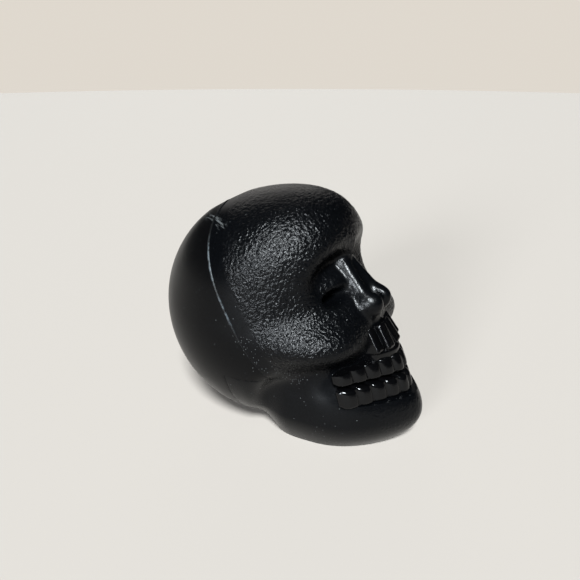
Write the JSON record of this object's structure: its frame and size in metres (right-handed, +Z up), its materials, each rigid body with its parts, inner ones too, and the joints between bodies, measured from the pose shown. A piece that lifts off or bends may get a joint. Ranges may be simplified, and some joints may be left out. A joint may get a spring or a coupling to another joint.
{
  "type": "skull ornament",
  "caption": "Small black moulded skull ornament with a domed cranium, eye sockets, cheekbones, tooth rows and a flat jaw to stand on.",
  "frame": {"origin": "centre of the bounding box's bottom, on the table under the jaw", "axes": "+Z up, the face looks along -Y, +X is the skull's left side"},
  "size_m": [0.052, 0.0722, 0.062],
  "materials": {
    "face_skin": "pebbled satin",
    "cranium_skin": "smooth satin",
    "seam_bead": "satin",
    "crown_plug": "scuffed satin",
    "teeth": "semi-gloss",
    "ballast": "rough cast"
  },
  "bodies": {
    "root": {"face_shell": "face_skin", "cranium_shell": "cranium_skin", "seam_bead": "seam_bead", "crown_plug": "crown_plug", "upper_teeth": "teeth", "lower_teeth": "teeth", "base_weight": "ballast"}
  },
  "joints": []
}
